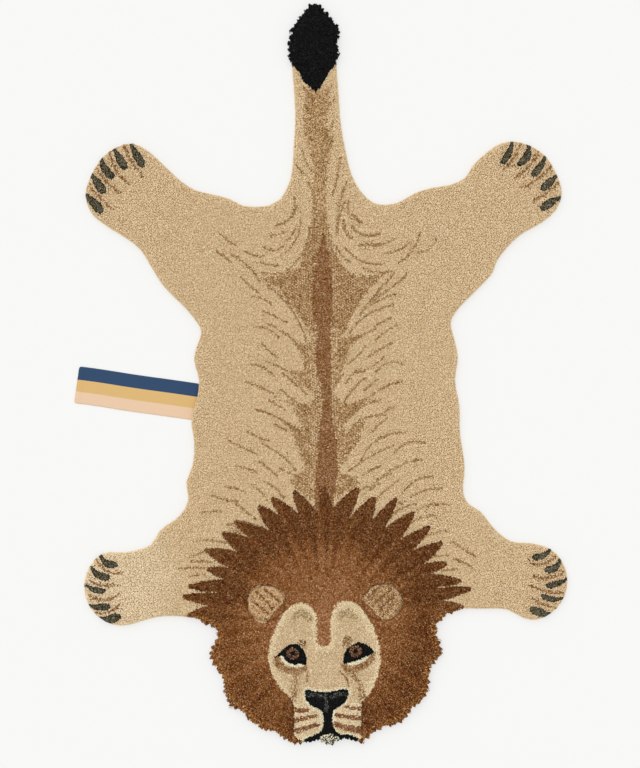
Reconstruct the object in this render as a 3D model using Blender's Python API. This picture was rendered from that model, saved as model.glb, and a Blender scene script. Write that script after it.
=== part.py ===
"""A lion shaped rug for a child's room, lying flat: one tufted piece with a cut pile, and a sewn-in side label.

Metres, +Z up. The tail points along +Y and the head along -Y, and the floor is at z = 0.
"""

import math
import random
from collections import namedtuple

import bmesh
import bpy
from mathutils import Vector
from mathutils.geometry import delaunay_2d_cdt
from mathutils.kdtree import KDTree

# Pile heights above the floor
BODY_PILE = 0.014
MANE_PILE = 0.021
TAIL_TIP_PILE = 0.019

# Where the pile changes height, and how softly
BLACK_TAIL_START = 0.640  # along Y
MANE_BASE_REACH = 0.246  # from the middle of the head, on the side of the body
SHOULDER_LINE = -0.496  # along Y: below it the mane reaches the rug's edge
MANE_OUTER_REACH = 0.300
SLOPE = 0.018

# The edge and the locks that hang over it
EDGE_STEP = 0.016  # between points along a smooth edge
LOCK_STEP = 0.0056  # from the root of a lock to its tip, along a shaggy edge
LOCK_REACH = 0.0078
LOCK_LEAN = 0.0026
LOCK_SPREAD = 0.42  # how unequal the locks are
LOCK_SEED = 11

# The scatter of points that carry the lumps of the pile
BODY_SPACING = 0.038
MANE_SPACING = 0.016
SCATTER_JITTER = 0.22  # as a share of the spacing
SCATTER_CLEARANCE = 0.52
BODY_LUMP = 0.0005
LUMP_PITCH = 0.085
MANE_RIDGE = 0.0013
MANE_RIDGES = 24
SPIKE_BULGE = 0.0028
SPIKE_TIP_RISE = 0.0035

# The carved lines of the ears, muzzle and mouth
CARVE_DEPTH = 0.0045
CARVE_HALF_WIDTH = 0.0045
CARVE_STEP = 0.011

# The woven label, turned by its tilt from the X axis, and the recess under the rug that takes its sewn end
LABEL_LENGTH = 0.270
LABEL_WIDTH = 0.0775
LABEL_THICKNESS = 0.0012
LABEL_OUTER_END = Vector((-0.5100, -0.0225))
LABEL_TILT = math.radians(-8.2)
LABEL_WAVE = 0.0007
LABEL_WAVES = 3
LABEL_STEPS = 24
LABEL_SEWN = 0.023
RECESS_RUN_OUT = 0.030  # the cutter's reach past the rug's edge
GAP = 0.0003

Bend = namedtuple("Bend", "across along")
Paw = namedtuple("Paw", "across along radius start_angle end_angle")

# The edge from the tail to the mane, one row for each bend, on the right of the spine and then on its left
RIGHT_TAIL_TIP = [
    Bend(0.006, 0.753),
    Bend(0.026, 0.731),
    Bend(0.033, 0.708),
    Bend(0.030, 0.682),
    Bend(0.032, 0.656),
]
RIGHT_TAIL = [
    Bend(0.034, 0.634),
    Bend(0.038, 0.579),
    Bend(0.042, 0.525),
    Bend(0.052, 0.468),
    Bend(0.065, 0.416),
    Bend(0.084, 0.382),
    Bend(0.110, 0.358),
]
RIGHT_HIP = [
    Bend(0.136, 0.354),
    Bend(0.161, 0.359),
    Bend(0.196, 0.378),
    Bend(0.230, 0.389),
    Bend(0.268, 0.395),
    Bend(0.301, 0.410),
    Bend(0.315, 0.433),
    Bend(0.347, 0.464),
    Bend(0.376, 0.482),
]
RIGHT_HIND_PAW = [
    Bend(0.405, 0.486),
    Bend(0.438, 0.477),
    Bend(0.470, 0.455),
    Bend(0.491, 0.421),
    Bend(0.504, 0.379),
    Bend(0.493, 0.344),
    Bend(0.464, 0.317),
]
RIGHT_FLANK = [
    Bend(0.417, 0.290),
    Bend(0.389, 0.263),
    Bend(0.368, 0.235),
    Bend(0.359, 0.211),
    Bend(0.320, 0.169),
    Bend(0.283, 0.130),
    Bend(0.272, 0.107),
    Bend(0.281, 0.067),
    Bend(0.287, 0.035),
    Bend(0.281, -0.013),
    Bend(0.290, -0.066),
    Bend(0.291, -0.119),
    Bend(0.301, -0.195),
    Bend(0.298, -0.247),
    Bend(0.308, -0.270),
    Bend(0.333, -0.286),
    Bend(0.364, -0.324),
    Bend(0.398, -0.349),
    Bend(0.440, -0.353),
]
RIGHT_FORE_PAW = Paw(0.433, -0.433, 0.0825, 55, -77)
RIGHT_SHOULDER = [
    Bend(0.423, -0.510),
    Bend(0.388, -0.492),
    Bend(0.333, -0.491),
]
LEFT_TAIL_TIP = [
    Bend(-0.010, 0.7705),
    Bend(-0.033, 0.751),
    Bend(-0.050, 0.728),
    Bend(-0.060, 0.702),
    Bend(-0.064, 0.682),
    Bend(-0.061, 0.658),
]
LEFT_TAIL = [
    Bend(-0.060, 0.634),
    Bend(-0.056, 0.585),
    Bend(-0.054, 0.531),
    Bend(-0.057, 0.479),
    Bend(-0.062, 0.416),
    Bend(-0.070, 0.391),
    Bend(-0.087, 0.364),
    Bend(-0.107, 0.353),
]
LEFT_HIP = [
    Bend(-0.133, 0.350),
    Bend(-0.162, 0.352),
    Bend(-0.190, 0.366),
    Bend(-0.227, 0.376),
    Bend(-0.261, 0.384),
    Bend(-0.290, 0.402),
    Bend(-0.328, 0.437),
    Bend(-0.358, 0.464),
]
LEFT_HIND_PAW = [
    Bend(-0.392, 0.482),
    Bend(-0.427, 0.474),
    Bend(-0.456, 0.453),
    Bend(-0.478, 0.419),
    Bend(-0.492, 0.374),
    Bend(-0.480, 0.336),
    Bend(-0.447, 0.308),
]
LEFT_FLANK = [
    Bend(-0.407, 0.283),
    Bend(-0.378, 0.260),
    Bend(-0.331, 0.186),
    Bend(-0.271, 0.123),
    Bend(-0.250, 0.088),
    Bend(-0.261, 0.055),
    Bend(-0.265, 0.028),
    Bend(-0.255, -0.012),
    Bend(-0.258, -0.047),
    Bend(-0.271, -0.094),
    Bend(-0.265, -0.145),
    Bend(-0.269, -0.192),
    Bend(-0.281, -0.224),
    Bend(-0.278, -0.265),
    Bend(-0.296, -0.296),
    Bend(-0.336, -0.326),
    Bend(-0.355, -0.356),
    Bend(-0.405, -0.371),
]
LEFT_FORE_PAW = Paw(-0.412, -0.444, 0.0828, 122, 266)
LEFT_SHOULDER = [
    Bend(-0.384, -0.520),
    Bend(-0.352, -0.510),
    Bend(-0.310, -0.506),
]

# The mane, in degrees and metres round the middle of the head: 0 lies along +X, and 90 points at the tail
HEAD_MIDDLE = Vector((0.009, -0.525))
Spike = namedtuple("Spike", "valley_angle valley_reach tip_angle tip_reach")
SPIKES = [
    Spike(12.2, 0.248, 14.2, 0.315),
    Spike(19.4, 0.239, 18.1, 0.299),
    Spike(26.6, 0.243, 27.0, 0.285),
    Spike(32.1, 0.244, 35.4, 0.300),
    Spike(40.8, 0.240, 43.3, 0.302),
    Spike(48.9, 0.239, 51.9, 0.301),
    Spike(58.5, 0.240, 60.8, 0.306),
    Spike(65.9, 0.238, 69.0, 0.289),
    Spike(77.4, 0.229, 76.2, 0.297),
    Spike(86.1, 0.247, 90.8, 0.289),
    Spike(93.1, 0.232, 102.9, 0.290),
    Spike(103.1, 0.240, 112.5, 0.290),
    Spike(112.0, 0.246, 119.3, 0.286),
    Spike(120.3, 0.232, 130.9, 0.290),
    Spike(130.8, 0.243, 137.9, 0.290),
    Spike(139.9, 0.240, 147.6, 0.298),
    Spike(149.1, 0.236, 154.2, 0.274),
    Spike(155.3, 0.232, 164.0, 0.298),
    Spike(162.7, 0.232, 168.5, 0.304),
]
LAST_VALLEY = (169.9, 0.244)  # degrees and metres
Lobe = namedtuple("Lobe", "notch_angle notch_reach crest_angle crest_reach")
RIM_LOBES = [
    Lobe(7.0, 0.277, 4.6, 0.243),
    Lobe(-2.5, 0.226, -12.3, 0.243),
    Lobe(-22.0, 0.232, -32.0, 0.248),
    Lobe(-38.0, 0.252, -44.5, 0.245),
    Lobe(-51.0, 0.252, -63.0, 0.239),
    Lobe(-73.0, 0.250, -79.5, 0.234),
    Lobe(-87.6, 0.242, -94.0, 0.233),
    Lobe(-103.0, 0.249, -115.0, 0.242),
    Lobe(-126.0, 0.249, -132.0, 0.245),
    Lobe(-140.5, 0.253, -154.0, 0.235),
    Lobe(-165.0, 0.243, -173.5, 0.223),
    Lobe(-179.0, 0.224, -182.6, 0.262),
]

# What stands above or below the mane's pile in the face: soft ovals
Swell = namedtuple("Swell", "across along half_width half_length rise")
FACE_SWELLS = [
    Swell(0.009, -0.605, 0.125, 0.150, -0.0035),
    Swell(-0.050, -0.531, 0.036, 0.058, 0.0020),
    Swell(0.067, -0.529, 0.036, 0.058, 0.0020),
    Swell(0.011, -0.608, 0.030, 0.080, 0.0020),
    Swell(-0.025, -0.713, 0.036, 0.044, 0.0040),
    Swell(0.055, -0.713, 0.036, 0.044, 0.0040),
    Swell(0.013, -0.675, 0.046, 0.025, 0.0020),
    Swell(-0.058, -0.585, 0.032, 0.020, -0.0030),
    Swell(0.076, -0.581, 0.032, 0.020, -0.0030),
]
EARS = [
    Swell(-0.114, -0.478, 0.040, 0.037, 0.0025),
    Swell(0.129, -0.476, 0.041, 0.038, 0.0025),
]
CARVED_LINES = [
    [Bend(-0.056, -0.672), Bend(-0.059, -0.708), Bend(-0.052, -0.746)],
    [Bend(0.085, -0.672), Bend(0.090, -0.708), Bend(0.083, -0.740)],
    [Bend(0.014, -0.702), Bend(0.014, -0.734), Bend(-0.018, -0.746)],
    [Bend(0.020, -0.738), Bend(0.048, -0.744)],
]

# The edge seen from the side, bottom to top: its share of the pile's height, how far in it lies,
# and its share of a lock's reach at the odd points of a shaggy edge and at the even ones
RimStep = namedtuple("RimStep", "level inset odd_lock even_lock")
RIM_STEPS = [
    RimStep(0.00, 0.0028, 0.00, 0.00),
    RimStep(0.30, 0.0000, 1.00, 0.15),
    RimStep(0.72, 0.0014, 0.10, 0.75),
    RimStep(0.97, 0.0060, 0.00, 0.00),
]

EdgePoint = namedtuple("EdgePoint", "place shaggy odd")


# ---- heights of the pile ----


def soft_step(value):
    """0 below 0, 1 above 1, and a smooth rise between."""
    share = min(max(value, 0.0), 1.0)
    return share * share * (3 - 2 * share)


def polar(angle, reach):
    """A place in the mane, from its angle in degrees and its reach from the middle of the head."""
    turn = math.radians(angle)
    return HEAD_MIDDLE + reach * Vector((math.cos(turn), math.sin(turn)))


def swell_height(place, swell):
    """How much a soft oval lifts the pile at a place."""
    across = (place.x - swell.across) / swell.half_width
    along = (place.y - swell.along) / swell.half_length
    return swell.rise * soft_step(1.35 * (1 - math.hypot(across, along)))


def mane_share(place):
    """1 on the mane and the face, 0 on the body, and a slope between them."""
    reach = (place - HEAD_MIDDLE).length
    on_top = soft_step((MANE_BASE_REACH - reach) / SLOPE)
    at_rim = soft_step((SHOULDER_LINE - place.y) / SLOPE) * soft_step((MANE_OUTER_REACH - reach) / SLOPE)
    return max(on_top, at_rim)


def pile_height(place):
    """Height of the pile's top at a place on the rug."""
    lump = BODY_LUMP * math.sin(place.x / LUMP_PITCH * math.tau) * math.cos(place.y / LUMP_PITCH * math.tau)
    body = BODY_PILE + lump
    body += (TAIL_TIP_PILE - BODY_PILE) * soft_step((place.y - BLACK_TAIL_START) / SLOPE)
    offset = place - HEAD_MIDDLE
    angle = math.atan2(offset.y, offset.x)
    ridge = MANE_RIDGE * math.sin(MANE_RIDGES * angle) * soft_step(offset.length / MANE_BASE_REACH)
    head = MANE_PILE + ridge + sum(swell_height(place, swell) for swell in FACE_SWELLS + EARS)
    share = mane_share(place)
    return body + (head - body) * share


# ---- the edge ----


def paw_bends(paw, steps=6):
    """Places along a front paw's round end."""
    places = []
    for i in range(steps + 1):
        turn = math.radians(paw.start_angle + (paw.end_angle - paw.start_angle) * i / steps)
        places.append(Bend(paw.across + paw.radius * math.cos(turn), paw.along + paw.radius * math.sin(turn)))
    return places


def rim_bends():
    """Places along the shaggy lower edge of the mane, from the right shoulder to the left one."""
    places = []
    for lobe in RIM_LOBES:
        places.append(polar(lobe.notch_angle, lobe.notch_reach))
        places.append(polar(lobe.crest_angle, lobe.crest_reach))
    return places


def edge_bends():
    """The bends all round the rug, clockwise from the tail's tip, each with whether its edge is shaggy."""
    right = RIGHT_TAIL + RIGHT_HIP + RIGHT_HIND_PAW + RIGHT_FLANK
    right += paw_bends(RIGHT_FORE_PAW) + RIGHT_SHOULDER
    left = LEFT_TAIL + LEFT_HIP + LEFT_HIND_PAW + LEFT_FLANK
    left += paw_bends(LEFT_FORE_PAW) + LEFT_SHOULDER
    stretches = [
        (RIGHT_TAIL_TIP, True),
        (right, False),
        (rim_bends(), True),
        (left[::-1], False),
        (LEFT_TAIL_TIP[::-1], True),
    ]
    return [(Vector(place), shaggy) for places, shaggy in stretches for place in places]


def curve_place(before, start, end, after, share):
    """A place on the smooth curve from start to end that also runs through its neighbours."""
    knots = [0.0]
    for near, far in ((before, start), (start, end), (end, after)):
        knots.append(knots[-1] + math.sqrt((far - near).length))
    at = knots[1] + (knots[2] - knots[1]) * share

    def blend(near, far, first, last):
        return near.lerp(far, (at - knots[first]) / (knots[last] - knots[first]))

    entry, middle, leave = blend(before, start, 0, 1), blend(start, end, 1, 2), blend(end, after, 2, 3)
    return blend(blend(entry, middle, 0, 2), blend(middle, leave, 1, 3), 1, 2)


def edge_points():
    """Points along the whole edge: wide apart where it is smooth, and by turns root and tip where it is shaggy."""
    bends = edge_bends()
    count = len(bends)
    points = []
    for i, (start, shaggy) in enumerate(bends):
        before, (end, end_shaggy), after = bends[i - 1][0], bends[(i + 1) % count], bends[(i + 2) % count][0]
        shaggy = shaggy and end_shaggy
        pieces = max(1, round((end - start).length / (LOCK_STEP if shaggy else EDGE_STEP)))
        pieces += pieces % 2 if shaggy else 0
        for j in range(pieces):
            points.append(EdgePoint(curve_place(before, start, end, after, j / pieces), shaggy, j % 2 == 1))
    return points


def rim_rings(points):
    """The edge at each of its levels: one ring of places for each row of RIM_STEPS."""
    rng = random.Random(LOCK_SEED)
    count = len(points)
    rings = [[] for _ in RIM_STEPS]
    for i, point in enumerate(points):
        reach = 2 if point.shaggy else 1
        along = (points[(i + reach) % count].place - points[i - reach].place).normalized()
        outward = Vector((-along.y, along.x))
        lock = LOCK_REACH * rng.uniform(1 - LOCK_SPREAD, 1 + LOCK_SPREAD)
        lean = LOCK_LEAN * rng.uniform(-1, 1)
        height = pile_height(point.place)
        for ring, step in zip(rings, RIM_STEPS):
            share = (step.odd_lock if point.odd else step.even_lock) if point.shaggy else 0.0
            place = point.place + outward * (lock * share - step.inset) + along * lean * share
            ring.append(Vector((place.x, place.y, height * step.level)))
    return rings


# ---- the top of the pile ----


class Sheet:
    """Places and edges that the top of the pile is made from, each place at its own height."""

    def __init__(self):
        self.places = []
        self.edges = []

    def add_line(self, line, closed=False):
        """Adds places joined one to the next, and returns the number of the first."""
        first = len(self.places)
        self.places += line
        self.edges += [(first + i, first + i + 1) for i in range(len(line) - 1)]
        if closed:
            self.edges.append((first + len(line) - 1, first))
        return first


def raised(place, lift=0.0):
    return Vector((place.x, place.y, pile_height(place) + lift))


def add_spikes(sheet):
    """The dark locks of the mane that lie over the body: a foot all round each and a ridge along its middle."""
    foot_height = BODY_PILE + BODY_LUMP
    valleys = [polar(spike.valley_angle, spike.valley_reach) for spike in SPIKES] + [polar(*LAST_VALLEY)]
    foot = []
    ridges = []
    for spike, start, end in zip(SPIKES, valleys, valleys[1:]):
        tip = polar(spike.tip_angle, spike.tip_reach)
        base = start.lerp(end, 0.5)
        side = (end - start).normalized() * SPIKE_BULGE
        foot += [start, start.lerp(tip, 0.5) - side, tip, tip.lerp(end, 0.5) + side]
        ridges.append([tip.lerp(base, share) for share in (0.3, 0.65, 1.0)])
    foot.append(valleys[-1])
    sheet.add_line([Vector((place.x, place.y, foot_height)) for place in foot])
    for ridge in ridges:
        heights = (SPIKE_TIP_RISE, 0.7 * (MANE_PILE - BODY_PILE), 0.95 * (MANE_PILE - BODY_PILE))
        sheet.add_line([Vector((place.x, place.y, BODY_PILE + rise)) for place, rise in zip(ridge, heights)])


def add_ears(sheet):
    """A carved groove all round each ear."""
    for ear in EARS:
        for offset, depth in ((-CARVE_HALF_WIDTH, 0.0), (0.0, CARVE_DEPTH), (CARVE_HALF_WIDTH, 0.0)):
            half_width, half_length = ear.half_width + offset, ear.half_length + offset
            count = round(math.pi * (ear.half_width + ear.half_length) / CARVE_STEP)
            ring = []
            for i in range(count):
                turn = math.tau * i / count
                place = Vector((ear.across + half_width * math.cos(turn), ear.along + half_length * math.sin(turn)))
                ring.append(raised(place, -depth))
            sheet.add_line(ring, closed=True)


def add_carved_lines(sheet):
    """The carved lines beside the muzzle and along the mouth."""
    for line in CARVED_LINES:
        places = []
        for start, end in zip(line, line[1:]):
            start, end = Vector(start), Vector(end)
            pieces = max(1, round((end - start).length / CARVE_STEP))
            places += [start.lerp(end, i / pieces) for i in range(pieces)]
        places.append(Vector(line[-1]))
        sheet.add_line([raised(place, -CARVE_DEPTH) for place in places])


def inside(place, loop):
    """Whether a place lies inside a closed line."""
    within = False
    for start, end in zip(loop, loop[1:] + loop[:1]):
        if (start.y > place.y) != (end.y > place.y):
            if place.x < start.x + (end.x - start.x) * (place.y - start.y) / (end.y - start.y):
                within = not within
    return within


def add_scatter(sheet, border, spacing, wanted):
    """An even scatter of places that are inside the border, clear of what is there, and wanted."""
    rng = random.Random(LOCK_SEED)
    taken = KDTree(len(sheet.places))
    for i, place in enumerate(sheet.places):
        taken.insert((place.x, place.y, 0.0), i)
    taken.balance()
    rows = round(2 / spacing)
    for row in range(-rows, rows):
        for column in range(-rows, rows):
            shift = 0.5 * (row % 2)
            place = Vector(((column + shift) * spacing, row * spacing * math.sqrt(0.75)))
            place += Vector((rng.uniform(-1, 1), rng.uniform(-1, 1))) * spacing * SCATTER_JITTER
            near = taken.find((place.x, place.y, 0.0))[2]
            if near > spacing * SCATTER_CLEARANCE and wanted(place) and inside(place, border):
                sheet.places.append(raised(place))


def fill(sheet, border_count):
    """Triangles over the sheet inside its first border_count places, and every place they use."""
    flat = [place.to_2d() for place in sheet.places]
    border = [list(range(border_count))]
    places, _, faces, sources, _, _ = delaunay_2d_cdt(flat, sheet.edges, border, 1, 1e-6)
    solid = []
    for place, source in zip(places, sources):
        solid.append(sheet.places[source[0]] if source else raised(place))
    return solid, faces


# ---- the solids ----


def link(mesh, name, collection, color, roughness):
    """An object for a mesh, with a material of its own."""
    piece = bpy.data.objects.new(name, mesh)
    collection.objects.link(piece)
    material = bpy.data.materials.new(name + "_material")
    material.use_nodes = True
    shader = material.node_tree.nodes["Principled BSDF"]
    shader.inputs["Base Color"].default_value = (*color, 1.0)
    shader.inputs["Roughness"].default_value = roughness
    shader.inputs["Metallic"].default_value = 0.0
    mesh.materials.append(material)
    return piece


def tufted_mesh():
    """The rug's closed mesh: the flat underside, the rounded or shaggy edge, and the top of the pile."""
    rings = rim_rings(edge_points())
    count = len(rings[0])
    top = Sheet()
    top.places += rings[-1]
    border = [place.to_2d() for place in rings[-1]]
    add_spikes(top)
    add_ears(top)
    add_carved_lines(top)
    add_scatter(top, border, MANE_SPACING, lambda place: mane_share(place) > 0.3)
    add_scatter(top, border, BODY_SPACING, lambda place: mane_share(place) <= 0.3)
    under = Sheet()
    under.places += rings[0]
    bm = bmesh.new()
    levels = [[bm.verts.new(place) for place in ring] for ring in rings]
    for lower, upper in zip(levels, levels[1:]):
        for i in range(count):
            j = (i + 1) % count
            bm.faces.new((lower[i], lower[j], upper[j], upper[i]))
    for sheet, level in ((top, levels[-1]), (under, levels[0])):
        places, faces = fill(sheet, count)
        known = {place.to_2d().to_tuple(6): vert for place, vert in zip(sheet.places, level)}
        verts = [known.get(place.to_2d().to_tuple(6)) or bm.verts.new(place) for place in places]
        for face in faces:
            bm.faces.new([verts[i] for i in face])
    bmesh.ops.triangulate(bm, faces=bm.faces)
    bmesh.ops.recalc_face_normals(bm, faces=bm.faces)
    mesh = bpy.data.meshes.new("tufted_rug")
    bm.to_mesh(mesh)
    bm.free()
    return mesh


def label_place(along, across):
    """A point on the floor, from its place along the label from the free end, and across it."""
    turn = Vector((math.cos(LABEL_TILT), math.sin(LABEL_TILT)))
    side = Vector((-turn.y, turn.x))
    return LABEL_OUTER_END + turn * along + side * across


def label_curve():
    """The label's flat outline, its long edges a little wavy."""
    outline = []
    for side in (-1, 1):
        edge = []
        for i in range(LABEL_STEPS + 1):
            share = i / LABEL_STEPS
            wave = LABEL_WAVE * math.sin(LABEL_WAVES * math.pi * share) * (1 - share)
            edge.append(label_place(LABEL_LENGTH * share, side * LABEL_WIDTH / 2 + wave))
        outline += edge[::side]
    curve = bpy.data.curves.new("side_label", "CURVE")
    curve.dimensions = "2D"
    curve.fill_mode = "BOTH"
    curve.extrude = LABEL_THICKNESS / 2
    spline = curve.splines.new("POLY")
    spline.points.add(len(outline) - 1)
    for point, place in zip(spline.points, outline):
        point.co = (place.x, place.y, 0.0, 1.0)
    spline.use_cyclic_u = True
    return curve


def recess_cutter(collection):
    """A block for the shallow recess under the rug's edge, where the label is sewn in."""
    visible = LABEL_LENGTH - LABEL_SEWN
    start, end = visible - RECESS_RUN_OUT, LABEL_LENGTH + GAP
    height = 2 * (LABEL_THICKNESS + GAP)
    middle = label_place((start + end) / 2, 0.0)
    bpy.ops.mesh.primitive_cube_add(size=1, location=(middle.x, middle.y, 0.0), rotation=(0, 0, LABEL_TILT))
    cutter = bpy.context.object
    cutter.name = "label_recess"
    cutter.scale = (end - start, LABEL_WIDTH + 2 * (GAP + LABEL_WAVE), height)
    bpy.ops.object.transform_apply(location=False, rotation=False, scale=True)
    cutter.hide_render = True
    cutter.display_type = "WIRE"
    for holder in list(cutter.users_collection):
        holder.objects.unlink(cutter)
    collection.objects.link(cutter)
    return cutter


def make_rug(parts, cutters):
    rug = link(tufted_mesh(), "tufted_rug", parts, (0.61, 0.43, 0.24), 0.95)
    recess = rug.modifiers.new("label recess", "BOOLEAN")
    recess.operation = "DIFFERENCE"
    recess.solver = "EXACT"
    recess.object = recess_cutter(cutters)
    return rug


def make_label(parts):
    label = link(label_curve(), "side_label", parts, (0.03, 0.09, 0.20), 0.8)
    label.location.z = LABEL_THICKNESS / 2
    return label


def main():
    for old in list(bpy.data.objects):
        bpy.data.objects.remove(old, do_unlink=True)
    parts = bpy.data.collections.new("lion_rug")
    cutters = bpy.data.collections.new("cutters")
    for collection in (parts, cutters):
        bpy.context.scene.collection.children.link(collection)
    make_rug(parts, cutters)
    make_label(parts)


main()
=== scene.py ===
import math
from itertools import product

import bmesh
import bpy
import numpy as np
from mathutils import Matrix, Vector
from mathutils.bvhtree import BVHTree
from mathutils.kdtree import KDTree


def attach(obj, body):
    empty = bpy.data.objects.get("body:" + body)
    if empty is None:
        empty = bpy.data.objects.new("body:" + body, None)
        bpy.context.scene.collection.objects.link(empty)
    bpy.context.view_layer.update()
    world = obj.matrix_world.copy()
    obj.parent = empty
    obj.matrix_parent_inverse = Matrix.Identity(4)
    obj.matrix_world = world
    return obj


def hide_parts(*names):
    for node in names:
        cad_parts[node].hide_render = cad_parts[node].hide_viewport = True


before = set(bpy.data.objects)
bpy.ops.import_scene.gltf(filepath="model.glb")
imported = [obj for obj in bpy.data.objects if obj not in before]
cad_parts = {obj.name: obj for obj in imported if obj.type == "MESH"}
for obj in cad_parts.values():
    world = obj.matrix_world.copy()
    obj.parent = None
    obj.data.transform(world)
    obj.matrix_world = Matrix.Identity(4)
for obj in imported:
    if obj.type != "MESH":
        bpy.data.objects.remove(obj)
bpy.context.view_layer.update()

scene = bpy.context.scene
print("frame loaded:", ", ".join(sorted(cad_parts)))

# the camera hangs straight above the rug and frames what the photo does
photoView = {
    "width": 640,
    "height": 768,
    "metresPerPixel": 0.00209,
    "across": -0.0016,
    "along": -0.0209,
    "lens": 130.0,
    "sensor": 36.0,
}
camera = bpy.data.objects.new("camera", bpy.data.cameras.new("camera"))
camera.data.lens = photoView["lens"]
camera.data.sensor_width = photoView["sensor"]
longSide = photoView["height"] * photoView["metresPerPixel"]
cameraHeight = longSide * photoView["lens"] / photoView["sensor"]
camera.location = (photoView["across"], photoView["along"], cameraHeight)
camera.data.clip_end = 50
scene.collection.objects.link(camera)
scene.camera = camera


class Wire:  # one output of a node, which can stand in a Python expression
    def __init__(self, graph, node, socket):
        self.graph, self.node, self.socket = graph, node, socket

    def __getitem__(self, name):
        return Wire(self.graph, self.node, self.node.outputs[name])

    def maths(self, operation, *values):
        return self.graph.add("ShaderNodeMath", {"operation": operation}, dict(enumerate(values)))

    def __add__(self, other):
        return self.maths("ADD", self, other)

    def __radd__(self, other):
        return self.maths("ADD", other, self)

    def __sub__(self, other):
        return self.maths("SUBTRACT", self, other)

    def __rsub__(self, other):
        return self.maths("SUBTRACT", other, self)

    def __mul__(self, other):
        return self.maths("MULTIPLY", self, other)

    def __rmul__(self, other):
        return self.maths("MULTIPLY", other, self)

    def __gt__(self, other):
        return self.maths("GREATER_THAN", self, other)

    def __lt__(self, other):
        return self.maths("LESS_THAN", self, other)


class Graph:  # a node tree that is filled by one method
    def __init__(self, tree):
        self.tree = tree

    def add(self, kind, settings=None, sockets=None, output=0):
        node = self.tree.nodes.new(kind)
        for name, value in (settings or {}).items():
            setattr(node, name, value)
        for key, value in (sockets or {}).items():
            if isinstance(value, Wire):
                self.tree.links.new(value.socket, node.inputs[key])
            else:
                node.inputs[key].default_value = value
        return Wire(self, node, node.outputs[output] if node.outputs else None)

    def mix(self, share, first, second):
        return self.add("ShaderNodeMix", {"data_type": "RGBA"}, {0: share, 6: first, 7: second}, output=2)

    def vector(self, operation, *values):
        return self.add("ShaderNodeVectorMath", {"operation": operation}, dict(enumerate(values)))

    def scaled(self, color, factor):
        return self.add("ShaderNodeVectorMath", {"operation": "SCALE"}, {"Vector": color, "Scale": factor})


def newMaterial(name):
    material = bpy.data.materials.new(name)
    material.use_nodes = True
    material.node_tree.nodes.clear()
    return material, Graph(material.node_tree)


def finish(material, graph, sockets):  # one shader with these sockets, joined to the output
    shader = graph.add("ShaderNodeBsdfPrincipled", {}, sockets)
    graph.add("ShaderNodeOutputMaterial", {}, {"Surface": shader})
    return material


def fill(data, field, values):
    data.foreach_set(field, np.asarray(values, np.float32).ravel())


def opaque(colors):
    return np.concatenate([colors, np.ones((len(colors), 1))], 1)


def linear(color):  # a screen color of 0 to 255 as light
    share = np.asarray(color, float) / 255
    return np.where(share < 0.04045, share / 12.92, ((share + 0.055) / 1.055) ** 2.4)


# the lion's drawing: curves and closed shapes seen from above with the tail up, in tables of millimetres


def metres(rows):
    return [tuple(value / 1000 for value in row) for row in rows]


def smoothLine(corners, steps=6, closed=False):
    corners = np.asarray(corners, float)
    count = len(corners)
    pad = corners[[-1]] if closed else corners[[0]] * 2 - corners[[1]]
    end = corners[:2] if closed else corners[[-1]] * 2 - corners[[-2]]
    points = np.concatenate([pad, corners, end])
    line = []
    for i in range(count if closed else count - 1):
        p, q, r, s = points[i : i + 4]
        square, cube = 2 * p - 5 * q + 4 * r - s, 3 * q - p - 3 * r + s
        for t in np.arange(steps) / steps:
            line.append(0.5 * (2 * q + (r - p) * t + square * t**2 + cube * t**3))
    if not closed:
        line.append(corners[-1])
    return np.array(line)


def insideLoop(places, loop):
    inside = np.zeros(len(places), bool)
    near = np.flatnonzero(((places >= loop.min(0)) & (places <= loop.max(0))).all(1))
    x, y = places[near].T
    hits = np.zeros(len(near), bool)
    for (ax, ay), (bx, by) in zip(loop, np.roll(loop, -1, 0)):
        if ay != by:
            hits ^= ((ay > y) != (by > y)) & (x < ax + (bx - ax) * (y - ay) / (by - ay))
    inside[near] = hits
    return inside


def insideShape(places, corners):
    return insideLoop(places, smoothLine(corners, 5, closed=True))


def strokeLine(startX, startY, endX, endY, bow, steps=10):
    start, end = np.array([startX, startY]), np.array([endX, endY])
    run = end - start
    side = np.array([-run[1], run[0]]) / np.hypot(*run)
    share = np.linspace(0, 1, steps)[:, None]
    return start + run * share + side * bow * 4 * share * (1 - share)


def lineDistance(places, line, farthest=0.05):  # how far each place is from a line, and how far along it
    distance = np.full(len(places), farthest)
    along = np.zeros(len(places))
    near = np.flatnonzero(((places > line.min(0) - farthest) & (places < line.max(0) + farthest)).all(1))
    spots = places[near]
    best, share = np.full(len(near), farthest), np.zeros(len(near))
    for i, (start, end) in enumerate(zip(line, line[1:])):
        run = end - start
        t = np.clip((spots - start) @ run / max(run @ run, 1e-12), 0, 1)
        gap = np.hypot(*(spots - start - t[:, None] * run).T)
        closer = gap < best
        best[closer], share[closer] = gap[closer], (i + t[closer]) / (len(line) - 1)
    distance[near], along[near] = best, share
    return distance, along


def onStrokes(places, strokes, halfWidth):
    hit = np.zeros(len(places), bool)
    for stroke in strokes:
        hit |= lineDistance(places, strokeLine(*stroke))[0] < halfWidth
    return hit


class Ripple:  # smooth one-way noise with a fixed seed, for what varies along a line or round the head
    def __init__(self, seed, count=512):
        self.values = np.random.default_rng(seed).uniform(-1, 1, count)

    def __call__(self, at):
        cell = np.floor(at).astype(int)
        share = at - cell
        share = share * share * (3 - 2 * share)
        count = len(self.values)
        return self.values[cell % count] * (1 - share) + self.values[(cell + 1) % count] * share


def fade(value):  # 0 below 0, 1 above 1, soft between
    share = np.clip(value, 0, 1)
    return share * share * (3 - 2 * share)


headMiddle = np.array([0.009, -0.525])

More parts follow.
